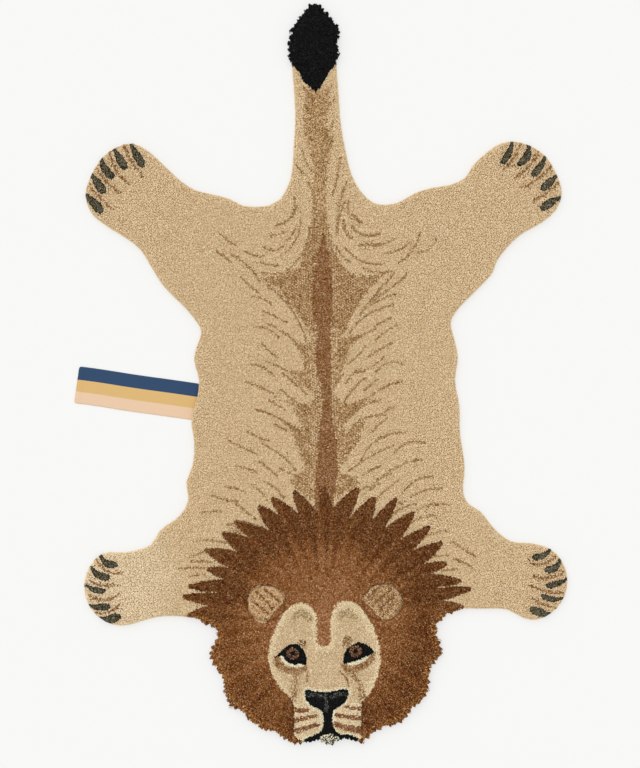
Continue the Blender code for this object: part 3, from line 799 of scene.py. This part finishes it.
low, high = corners.min(0) - 0.004, corners.max(0) + 0.004
bodyGrid = hexGrid(low, high, pile["bodyPitch"])
maneGrid = hexGrid(low, np.array([high[0], -0.20]), pile["manePitch"])
fineGrid = hexGrid(low, high, pile["facePitch"])
maneShape = maneLoop()
fineGrid = fineGrid[isFine(fineGrid)]
maneGrid = maneGrid[insideLoop(maneGrid, maneShape) & ~isFine(maneGrid)]
bodyGrid = bodyGrid[~insideLoop(bodyGrid, maneShape) & ~isFine(bodyGrid)]
streakRows = yarnRows(leftStreaks + rightStreaks + tailStreaks, pile["rowPitch"])
streakRows = streakRows[~insideLoop(streakRows, maneShape)]
toeRows = yarnRows(toeLines, pile["rowPitch"])
tips, normals, regions = [], [], []
for region, grid in enumerate((bodyGrid, maneGrid, fineGrid, streakRows, toeRows)):
    spots, slopes = landed(grid)
    tips.append(spots)
    normals.append(slopes)
    regions.append(np.full(len(spots), region))
sideSpots, sideNormals = sidePlaces(pile["sidePitch"])
tips, normals = np.concatenate(tips + [sideSpots]), np.concatenate(normals + [sideNormals])
onSide = np.zeros(len(tips), bool)
onSide[-len(sideSpots) :] = True
sideRegion = np.where(insideLoop(sideSpots[:, :2], maneShape), 1, 0)
regions = np.concatenate(regions + [sideRegion])
streakRow, toeRow = regions == 3, regions == 4
regions[regions > 2] = 0
inMane = regions == 1
print("tuft places:", len(tips), "of them on the sides:", int(onSide.sum()))

# each tuft stands on its slope, and the mane's lean away from the face
steepness = np.clip(1.15 - normals[:, 2], 0, 1)[:, None]
outOfSlope = normals * np.array([1.0, 1.0, 0.0]) * 1.15
lean = np.array([0.0, 0.0, 1.0]) * (1 - 0.55 * steepness) + outOfSlope * np.minimum(1, 2 * steepness)
fromHead = tips[:, :2] - headMiddle
headReach = np.hypot(*fromHead.T)
outward = fromHead / np.maximum(headReach, 1e-6)[:, None]
clump = Ripple(15)(np.degrees(np.arctan2(fromHead[:, 1], fromHead[:, 0])) / 4.2) * 0.5 + 0.5
maneShare = inMane * fade((headReach - 0.03) / 0.10)
lean[:, :2] += outward * (maneShare * pile["maneLean"] * (0.6 + 0.8 * clump))[:, None]
inTail = insideLoop(tips[:, :2], np.array(tailTip))
lean[:, 1] += pile["tailLean"] * inTail
calm = np.where(onSide & ~inTail, 0.5, 1.0)[:, None]
lean[:, :2] += rng.normal(0, pile["strayLean"], (len(tips), 2)) * calm
lean /= np.linalg.norm(lean, axis=1)[:, None]
length = np.where(inMane | inTail, pile["maneLength"], pile["bodyLength"])
length *= rng.uniform(0.92, 1.08, len(tips))
girth = np.array([pile["bodyGirth"], pile["maneGirth"], pile["faceGirth"]])[regions]
girth *= rng.uniform(0.88, 1.12, len(tips))
tips[:, 2] += rng.normal(0, pile["strayHeight"], len(tips)) + 0.0002
tips[streakRow | toeRow, 2] += pile["rowRise"]

# the shaggy rim of mane and tail is finer and uneven, and grooves part the ears and the muzzle
shag = onSide & (inMane | inTail)
uneven = rng.uniform(-0.0012, 0.0018, shag.sum()) * np.where(inTail[shag], 1.0, 0.4)
tips[shag] += lean[shag] * uneven[:, None]
girth[shag] *= np.where(inTail[shag], pile["tailShagGirth"], pile["maneShagGirth"])
grooves = [smoothLine(faceShapes[name], 5, closed=True) for name in ("leftEar", "rightEar")]
grooves += [smoothLine(line) for line in muzzleLines]
for line in grooves:
    gap, _ = lineDistance(tips[:, :2], line)
    tips[:, 2] -= pile["grooveDepth"] * fade(1.5 - gap / pile["grooveHalf"])

# no tuft's root or leaning side goes through the floor
roots = tips - lean * length[:, None]
roots[:, 2] = np.maximum(roots[:, 2], pile["lowestRoot"])
droop = girth * 0.78 * np.sqrt(np.clip(1 - lean[:, 2] ** 2, 0, 1)) + 0.0004
shoulder = np.minimum(tips[:, 2], 0.2 * roots[:, 2] + 0.8 * tips[:, 2])
lift = np.maximum(droop - shoulder, 0)
tips[:, 2] += lift
roots[:, 2] += lift
axis = tips - roots
length = np.linalg.norm(axis, axis=1)
lean = axis / length[:, None]

# each tuft takes its yarn from the drawing, and strays from the yarn's color
drawnAt = tips[:, :2] - normals[:, :2] * np.where(onSide, pile["sideInset"], 0.0)[:, None]
lowSpots = sideSpots[sideSpots[:, 2] < pile["rimHeight"]]
rimTree = KDTree(len(lowSpots))
for i, spot in enumerate(lowSpots):
    rimTree.insert((*spot[:2], 0.0), i)
rimTree.balance()
rimGap = np.full(len(tips), 1.0)
for i in np.flatnonzero(inMane):
    rimGap[i] = rimTree.find((*tips[i, :2], 0.0))[2]
picks = drawLion(drawnAt, rng, fade(1.15 - rimGap / pile["rimWidth"]))


def named(*names):
    return np.isin(picks, [yarnNumber[name] for name in names])


picks[streakRow & ~named("black")] = yarnNumber["streak"]
picks[toeRow & ~named("claw", "clawDark")] = yarnNumber["toe"]
stray = rng.standard_normal((len(picks), 1)) + 0.1 * rng.standard_normal((len(picks), 3))
stray = yarnSpread[picks, None] * stray
stray *= 1.9 - yarnColors[picks] / 185  # dark colors stray further
tints = linear(np.clip(yarnColors[picks] + stray, 5, 250)) / pile["lightLoss"]
# the sand tufts on one fore paw are paler
palePaw = {"middle": (-0.43, -0.43), "radius": 0.12, "gain": (0.10, 0.17, 0.28)}
pawGap = np.hypot(*(tips[:, :2] - palePaw["middle"]).T)
paler = fade(1.5 - pawGap / palePaw["radius"]) * named("sand")
tints *= 1 + paler[:, None] * np.array(palePaw["gain"])
tints = np.clip(tints, 0.001, 0.92)


# Geometry Nodes plant one tuft on each place
def tuftTree():
    tree = bpy.data.node_groups.new("plantTufts", "GeometryNodeTree")
    tree.interface.new_socket(name="Geometry", in_out="OUTPUT", socket_type="NodeSocketGeometry")
    inputs = (
        ("Geometry", "NodeSocketGeometry", None),
        ("Sides", "NodeSocketInt", 4),
        ("Width", "NodeSocketFloat", 1.0),
        ("Shoulder height", "NodeSocketFloat", 0.86),
        ("Wobble", "NodeSocketFloat", 0.08),
        ("Seed", "NodeSocketInt", 1),
        ("Yarn", "NodeSocketMaterial", None),
    )
    for name, kind, value in inputs:
        socket = tree.interface.new_socket(name=name, in_out="INPUT", socket_type=kind)
        if value is not None:
            socket.default_value = value
    graph = Graph(tree)
    given = graph.add("NodeGroupInput")
    cone = graph.add("GeometryNodeMeshCone", {"fill_type": "TRIANGLE_FAN"}, {
        "Vertices": given["Sides"],
        "Side Segments": 1,
        "Fill Segments": 1,
        "Radius Top": given["Width"] * 0.5,
        "Radius Bottom": 0.0,
        "Depth": given["Shoulder height"],
    })
    place = graph.add("GeometryNodeInputPosition")
    split = graph.add("ShaderNodeSeparateXYZ", {}, {"Vector": place})
    fromAxis = split["X"] * split["X"] + split["Y"] * split["Y"]
    crown = (fromAxis < 0.001) * (split["Z"] > 0.3) * (1 - given["Shoulder height"])
    lift = graph.add("ShaderNodeCombineXYZ", {}, {"Z": crown})
    domed = graph.add("GeometryNodeSetPosition", {}, {"Geometry": cone["Mesh"], "Offset": lift})
    marked = graph.add("GeometryNodeStoreNamedAttribute", {"data_type": "FLOAT", "domain": "POINT"}, {
        "Geometry": domed,
        "Name": "rise",
        "Value": split["Z"],
    })

    def stored(name, kind):
        return graph.add("GeometryNodeInputNamedAttribute", {"data_type": kind}, {"Name": name})

    along = stored("lean", "FLOAT_VECTOR")
    upright = graph.add("FunctionNodeAlignRotationToVector", {"axis": "Z"}, {"Vector": along})
    wobble = given["Wobble"]
    least = graph.add("ShaderNodeCombineXYZ", {}, {"X": 0 - wobble, "Y": 0 - wobble, "Z": 0.0})
    most = graph.add("ShaderNodeCombineXYZ", {}, {"X": wobble, "Y": wobble, "Z": math.tau})
    spin = graph.add("FunctionNodeRandomValue", {"data_type": "FLOAT_VECTOR"}, {
        0: least,
        1: most,
        "Seed": given["Seed"],
    })
    turned = graph.add("FunctionNodeRotateRotation", {"rotation_space": "LOCAL"}, {
        "Rotation": upright,
        "Rotate By": graph.add("FunctionNodeEulerToRotation", {}, {"Euler": spin}),
    })
    wide = stored("girth", "FLOAT")
    size = graph.add("ShaderNodeCombineXYZ", {}, {"X": wide, "Y": wide, "Z": stored("reach", "FLOAT")})
    planted = graph.add("GeometryNodeInstanceOnPoints", {}, {
        "Points": given["Geometry"],
        "Instance": marked,
        "Rotation": turned,
        "Scale": size,
    })
    real = graph.add("GeometryNodeRealizeInstances", {}, {"Geometry": planted})
    smooth = graph.add("GeometryNodeSetShadeSmooth", {}, {"Geometry": real})
    dressed = graph.add("GeometryNodeSetMaterial", {}, {"Geometry": smooth, "Material": given["Yarn"]})
    graph.add("NodeGroupOutput", {}, {"Geometry": dressed})
    return tree


# cut wool: how fine its fibres and plies are, how far they stray from the dye on a screen, and the painted
# shade at each root
wool = {
    "fibreScale": 1500.0,
    "plyScale": 680.0,
    "plyStep": 0.34,
    "rootStep": 0.14,
    "fibreStep": 0.10,
    "darkStep": 3.2,
    "answerFall": -1.35,
    "answer": 1.93,
    "darkest": 0.03,
    "screenGamma": 2.2,
    "sheen": 0.04,
}


def woolMaterial():  # each tuft in its own dye, darkened towards the root as painted shade
    material, graph = newMaterial("cutWool")
    dye = graph.add("ShaderNodeAttribute", {"attribute_name": "yarn"})["Color"]
    screen = graph.add("ShaderNodeGamma", {}, {"Color": dye, "Gamma": 1 / wool["screenGamma"]})
    rise = graph.add("ShaderNodeAttribute", {"attribute_name": "rise"})["Fac"]
    place = graph.add("ShaderNodeTexCoord")["Object"]
    drawn = graph.add("ShaderNodeMapping", {}, {"Vector": place, "Scale": (1.0, 1.0, 0.3)})
    noise = {"Vector": drawn, "Scale": wool["fibreScale"], "Detail": 2.0}
    fibres = graph.add("ShaderNodeTexNoise", {}, noise)["Fac"]
    cells = {"Vector": place, "Scale": wool["plyScale"]}
    plies = graph.add("ShaderNodeTexVoronoi", {"feature": "F1"}, cells)["Color"]
    # an even step up or down as the eye sees it, so dark spots are the redder ones; the step at the root is
    # painted shade
    step = wool["plyStep"] * (plies - 0.5) + wool["rootStep"] * (rise - 1)
    step = step + wool["fibreStep"] * (fibres - 0.5)
    step = step * screen.maths("MINIMUM", wool["darkStep"] * screen, 1.0)
    fall, most, darkest = ((wool[name],) * 3 for name in ("answerFall", "answer", "darkest"))
    answer = graph.vector("MULTIPLY_ADD", screen, fall, most)
    spotted = graph.vector("ADD", screen, graph.scaled(answer, step))
    spotted = graph.vector("MAXIMUM", spotted, darkest)
    bump = graph.add("ShaderNodeBump", {}, {"Height": fibres, "Strength": 0.35, "Distance": 0.0006})
    return finish(material, graph, {
        "Base Color": graph.add("ShaderNodeGamma", {}, {"Color": spotted, "Gamma": wool["screenGamma"]}),
        "Roughness": 0.95,
        "Sheen Weight": wool["sheen"],
        "Sheen Roughness": 0.5,
        "Specular IOR Level": 0.12,
        "Normal": bump,
    })


def linked(name, mesh):
    piece = bpy.data.objects.new(name, mesh)
    scene.collection.objects.link(piece)
    return piece


def flatMap(mesh, name="OFBake"):  # a map seen from straight above, one part of it for each tuft
    places = np.empty(len(mesh.vertices) * 3, np.float32)
    mesh.vertices.foreach_get("co", places)
    places = places.reshape(-1, 3)[:, :2]
    corner = np.empty(len(mesh.loops), np.int32)
    mesh.loops.foreach_get("vertex_index", corner)
    least, most = places.min(0), places.max(0)
    spots = ((places - least) / (most - least) * 0.996 + 0.002)[corner]
    fill(mesh.uv_layers.new(name=name, do_init=False).uv, "vector", spots)


tufts = tuftTree()
woolYarn = woolMaterial()


def plant(name, chosen, shape):
    chosen = np.flatnonzero(chosen)
    seeds = bpy.data.meshes.new(name + "Roots")
    seeds.vertices.add(len(chosen))
    fill(seeds.vertices, "co", roots[chosen])
    stores = (
        ("lean", "FLOAT_VECTOR", "vector", lean[chosen]),
        ("girth", "FLOAT", "value", girth[chosen]),
        ("reach", "FLOAT", "value", length[chosen]),
        ("yarn", "FLOAT_COLOR", "color", opaque(tints[chosen])),
    )
    for label, kind, field, values in stores:
        fill(seeds.attributes.new(label, kind, "POINT").data, field, values)
    holder = linked(name + "Holder", seeds)
    modifier = holder.modifiers.new("tufts", "NODES")
    modifier.node_group = tufts
    given = dict(shape, Yarn=woolYarn)
    for item in tufts.interface.items_tree:
        if item.in_out == "INPUT" and item.name in given:
            modifier[item.identifier] = given[item.name]
    graph = bpy.context.evaluated_depsgraph_get()
    mesh = bpy.data.meshes.new_from_object(holder.evaluated_get(graph), depsgraph=graph)
    holder.modifiers.remove(modifier)
    bpy.data.objects.remove(holder)
    mesh.name = name
    for spare in ("lean", "girth", "reach"):
        if spare in mesh.attributes:
            mesh.attributes.remove(mesh.attributes[spare])
    flatMap(mesh)
    piece = linked(name, mesh)
    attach(piece, "root")
    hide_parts("tufted_rug")
    mesh.calc_loop_triangles()
    print(name, "tufts:", len(chosen), "triangles:", len(mesh.loop_triangles))
    return piece


sand = named("sand")
third = rng.integers(0, 3, len(picks))
shagMane = named("maneDark", "maneDusk", "maneMiddle", "maneLight", "maneGold", "stripe")
dark = named("black", "grey", "claw", "clawDark")
brown = named("shade", "shadePale", "streak", "spine", "toe") & (regions != 2)
pale = ~(sand | shagMane | dark | brown)
plain = {"Sides": 4, "Width": 1.0, "Shoulder height": 0.84, "Wobble": 0.10, "Seed": 3}
pointed = {"Sides": 4, "Width": 1.0, "Shoulder height": 0.78, "Wobble": 0.14, "Seed": 5}
pilePieces = [
    plant("sandPileLight", sand & (third == 0), plain),
    plant("sandPileMiddle", sand & (third == 1), plain),
    plant("sandPileDeep", sand & (third == 2), plain),
    plant("brownPile", brown, plain),
    plant("manePile", shagMane, pointed),
    plant("facePile", pale, plain),
    plant("darkPile", dark, plain),
]

# under the pile: the tufted ground with its cotton backing, in metres
ground = {
    "depth": 0.0028,
    "rimThickness": 0.0016,
    "flatBelow": 0.0006,
    "backingBelow": 0.003,
    "shortestEdge": 0.006,
    "dyeStep": 0.12,
    # painted shade: the ground between the tufts is darker than its yarn
    "dim": 0.80,
    "seed": 4,
    "weavePitch": 0.0024,
    "cotton": (0.56, 0.47, 0.34),
    "flatWidth": 1.010,
    "flatLength": 1.552,
    "area": 0.78,
}


def groundYarns(spots):
    return drawLion(spots, np.random.default_rng(ground["seed"]), np.zeros(len(spots)))


def groundMesh():  # the rug's own form, a little lower, with smaller faces where the dye changes
    bm = bmesh.new()
    bm.from_mesh(rugMesh)
    bmesh.ops.remove_doubles(bm, verts=bm.verts, dist=1e-6)
    for _ in range(2):
        dyes = linear(yarnColors[groundYarns(np.array([v.co[:2] for v in bm.verts])), 0])
        bm.verts.index_update()
        upper = [f for f in bm.faces if f.normal.z > 0.3]
        mixed = [f for f in upper if np.ptp([dyes[v.index] for v in f.verts]) > ground["dyeStep"]]
        edges = {e for f in mixed for e in f.edges if e.calc_length() > ground["shortestEdge"]}
        bmesh.ops.subdivide_edges(bm, edges=list(edges), cuts=1, use_grid_fill=True)
        bm.normal_update()
    for vert, place in [(v, v.co - v.normal * ground["depth"]) for v in bm.verts]:
        lowest = min(vert.co.z, ground["rimThickness"])
        place.z = 0.0 if vert.co.z < ground["flatBelow"] else max(place.z, lowest)
        vert.co = place
    bm.normal_update()
    for face in bm.faces:
        under = face.normal.z < -0.5 and face.calc_center_median().z < ground["backingBelow"]
        face.material_index = 1 if under else 0
    mesh = bpy.data.meshes.new("tuftedGround")
    bm.to_mesh(mesh)
    bm.free()
    return mesh


def groundMaterial():
    material, graph = newMaterial("pileRoots")
    dye = graph.add("ShaderNodeAttribute", {"attribute_name": "yarn"})["Color"]
    place = graph.add("ShaderNodeTexCoord")["Object"]
    specks = graph.add("ShaderNodeTexNoise", {}, {"Vector": place, "Scale": 420.0, "Detail": 3.0})["Fac"]
    return finish(material, graph, {
        "Base Color": graph.scaled(dye, 0.55 + 0.9 * specks),
        "Roughness": 1.0,
        "Specular IOR Level": 0.05,
        "Normal": graph.add("ShaderNodeBump", {}, {"Height": specks, "Strength": 0.6, "Distance": 0.002}),
    })


def backingMaterial():  # plain woven cotton: over and under, with slubs
    material, graph = newMaterial("cottonBacking")
    place = graph.add("ShaderNodeTexCoord")["Object"]
    axes = graph.add("ShaderNodeSeparateXYZ", {}, {"Vector": place})
    turn = math.tau / ground["weavePitch"] / 2
    warp, weft = axes["X"] * turn, axes["Y"] * turn
    over = warp.maths("SINE", warp) * weft.maths("SINE", weft)
    ridges = warp.maths("ABSOLUTE", warp.maths("COSINE", warp)) * (over > 0)
    ridges = ridges + weft.maths("ABSOLUTE", weft.maths("COSINE", weft)) * (over < 0)
    slubs = graph.add("ShaderNodeTexNoise", {}, {"Vector": place, "Scale": 160.0, "Detail": 3.0})["Fac"]
    tone = 0.72 + 0.20 * (1 - ridges) + 0.22 * slubs
    bump = {"Height": 1 - ridges, "Strength": 0.5, "Distance": 0.0005}
    return finish(material, graph, {
        "Base Color": graph.scaled(ground["cotton"], tone),
        "Roughness": 0.9,
        "Specular IOR Level": 0.15,
        "Normal": graph.add("ShaderNodeBump", {}, bump),
    })


groundData = groundMesh()
centres = np.array([face.center[:2] for face in groundData.polygons])
# painted shade: the ground's dyes are darkened where it shows in the gaps between the tufts
groundDyes = linear(yarnColors[groundYarns(centres)]) * ground["dim"]
sides = [face.loop_total for face in groundData.polygons]
layer = groundData.color_attributes.new("yarn", "FLOAT_COLOR", "CORNER")
fill(layer.data, "color", opaque(np.repeat(groundDyes, sides, axis=0)))
groundData.materials.append(groundMaterial())
groundData.materials.append(backingMaterial())
woolGround = linked("tuftedGround", groundData)
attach(woolGround, "root")
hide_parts("tufted_rug")
print("ground faces:", len(groundData.polygons))

# the woven side label: a ribbon with a turned end, in metres
ribbon = {
    "length": 0.270,
    "width": 0.0775,
    "thickness": 0.0011,
    "outerEnd": (-0.5100, -0.0225),
    "tiltDegrees": -8.2,
    "rows": 90,
    "rowCrowding": 1.4,
    "columns": 26,
    "wave": 0.0012,
    "edgeWave": 0.0007,
    "hem": 0.012,
    "hemRise": 0.0006,
    "floorGap": 0.00005,
    "cornerRadius": 0.005,
    "navy": (37, 69, 106),
    "ochre": (227, 187, 120),
    "blush": (240, 206, 172),
    "bandEdges": (0.32, 0.64),
    "threadPitch": 0.0009,
}


def ribbonPoint(along, across, lift):
    turn = math.radians(ribbon["tiltDegrees"])
    x = ribbon["outerEnd"][0] + along * math.cos(turn) - across * math.sin(turn)
    y = ribbon["outerEnd"][1] + along * math.sin(turn) + across * math.cos(turn)
    return (x, y, lift)


def ribbonMesh():
    bm = bmesh.new()
    layer = bm.loops.layers.uv.new("ribbonMap")
    rows, columns = ribbon["rows"], ribbon["columns"]
    downs = [(i / rows) ** ribbon["rowCrowding"] for i in range(rows + 1)]
    shares = [(down, 2 * j / columns - 1) for down in downs for j in range(columns + 1)]
    turn = ribbon["cornerRadius"]
    levels = []
    for level in (0, 1):
        verts = []
        for share, side in shares:
            along = share * ribbon["length"]
            ripple = math.sin(share * 9.0 + side) * math.sin(share * 23.0) * 0.5 + 0.5
            wave = ribbon["wave"] * fade((0.90 - share) / 0.15) * ripple  # flat where it is sewn in
            edge = ribbon["edgeWave"] * math.sin(3 * math.pi * share) * (1 - share)
            thick = ribbon["thickness"] + ribbon["hemRise"] * (along < ribbon["hem"])
            lift = ribbon["floorGap"] + wave * (0.4 + 0.6 * side * side) + level * thick
            near = max(turn - along, 0)
            half = ribbon["width"] / 2 - turn + math.sqrt(turn**2 - near**2)
            verts.append(bm.verts.new(ribbonPoint(along, side * half + edge, lift)))
        levels.append(verts)
    stride = columns + 1

    def addFace(places):  # each place is a level and a number in it
        face = bm.faces.new([levels[level][k] for level, k in places])
        for loop, (_, k) in zip(face.loops, places):
            loop[layer].uv = (shares[k][0], shares[k][1] / 2 + 0.5)

    for i in range(rows):
        for j in range(columns):
            start = i * stride + j
            around = [start, start + stride, start + stride + 1, start + 1]
            addFace([(0, k) for k in reversed(around)])
            addFace([(1, k) for k in around])
    border = [i * stride for i in range(rows + 1)] + [rows * stride + j for j in range(1, stride)]
    border += [i * stride + columns for i in range(rows - 1, -1, -1)] + list(range(columns - 1, 0, -1))
    for a, b in zip(border, border[1:] + border[:1]):
        addFace([(0, a), (0, b), (1, b), (1, a)])
    bmesh.ops.recalc_face_normals(bm, faces=bm.faces)
    mesh = bpy.data.meshes.new("sideRibbon")
    bm.to_mesh(mesh)
    bm.free()
    for face in mesh.polygons:
        face.use_smooth = True
    return mesh


def ribbonMaterial():  # three plain lengthwise bands in a fine rib weave
    material, graph = newMaterial("wovenRibbon")
    uv = graph.add("ShaderNodeUVMap", {"uv_map": "ribbonMap"})
    axes = graph.add("ShaderNodeSeparateXYZ", {}, {"Vector": uv})
    along, across = axes["X"], axes["Y"]
    navy, ochre, blush = ((*linear(ribbon[name]), 1.0) for name in ("navy", "ochre", "blush"))
    color = graph.mix(across > ribbon["bandEdges"][0], blush, ochre)
    color = graph.mix(across > ribbon["bandEdges"][1], color, navy)
    ribs = along * (math.tau * ribbon["length"] / ribbon["threadPitch"])
    ends = across * (math.tau * ribbon["width"] / ribbon["threadPitch"])
    weave = ribs.maths("SINE", ribs) * 0.5 + ends.maths("SINE", ends) * ribs.maths("COSINE", ribs) * 0.5
    place = graph.add("ShaderNodeTexCoord")["Object"]
    fuzz = graph.add("ShaderNodeTexNoise", {}, {"Vector": place, "Scale": 900.0, "Detail": 2.0})["Fac"]
    tone = 0.93 + 0.07 * weave + 0.10 * (fuzz - 0.5)
    return finish(material, graph, {
        "Base Color": graph.scaled(color, tone),
        "Roughness": 0.62,
        "Specular IOR Level": 0.3,
        "Sheen Weight": 0.15,
        "Normal": graph.add("ShaderNodeBump", {}, {"Height": weave, "Strength": 0.35, "Distance": 0.0003}),
    })


ribbonData = ribbonMesh()
ribbonData.materials.append(ribbonMaterial())
sideRibbon = linked("sideRibbon", ribbonData)
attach(sideRibbon, "root")
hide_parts("side_label")

print("rug and label dressed")

# the floor, the light and the picture's tones
studio = {
    "floorSize": 80.0,
    "floorDrop": 0.0002,
    "floorColor": (0.36, 0.36, 0.355, 1.0),
    "glowColor": (1.0, 1.0, 0.985, 1.0),
    "floorGlow": 0.56,
    "sky": 0.86,
    "sun": 0.80,
    "sunAngle": 60.0,
    "sunTilt": (-32, -24, 0),
}
half = studio["floorSize"] / 2
floorMesh = bpy.data.meshes.new("floor")
floorCorners = [(-half, -half, 0), (half, -half, 0), (half, half, 0), (-half, half, 0)]
floorMesh.from_pydata(floorCorners, [], [(0, 1, 2, 3)])
floorMesh.materials.append(finish(*newMaterial("paleFloor"), {
    "Base Color": studio["floorColor"],
    "Roughness": 0.9,
    "Specular IOR Level": 0.1,
    "Emission Color": studio["glowColor"],
    "Emission Strength": studio["floorGlow"],
}))
floor = linked("floor", floorMesh)
floor.location.z = -studio["floorDrop"]

world = bpy.data.worlds.new("studio")
scene.world = world
world.use_nodes = True
world.node_tree.nodes.clear()
sky = Graph(world.node_tree)
glow = sky.add("ShaderNodeBackground", {}, {"Color": (1.0, 1.0, 1.0, 1.0), "Strength": studio["sky"]})
sky.add("ShaderNodeOutputWorld", {}, {"Surface": glow})
sun = bpy.data.lights.new("softSun", "SUN")
sun.energy = studio["sun"]
sun.angle = math.radians(studio["sunAngle"])
sunObject = bpy.data.objects.new("softSun", sun)
sunObject.rotation_euler = [math.radians(tilt) for tilt in studio["sunTilt"]]
scene.collection.objects.link(sunObject)
scene.view_settings.view_transform = "Standard"
print("studio set")
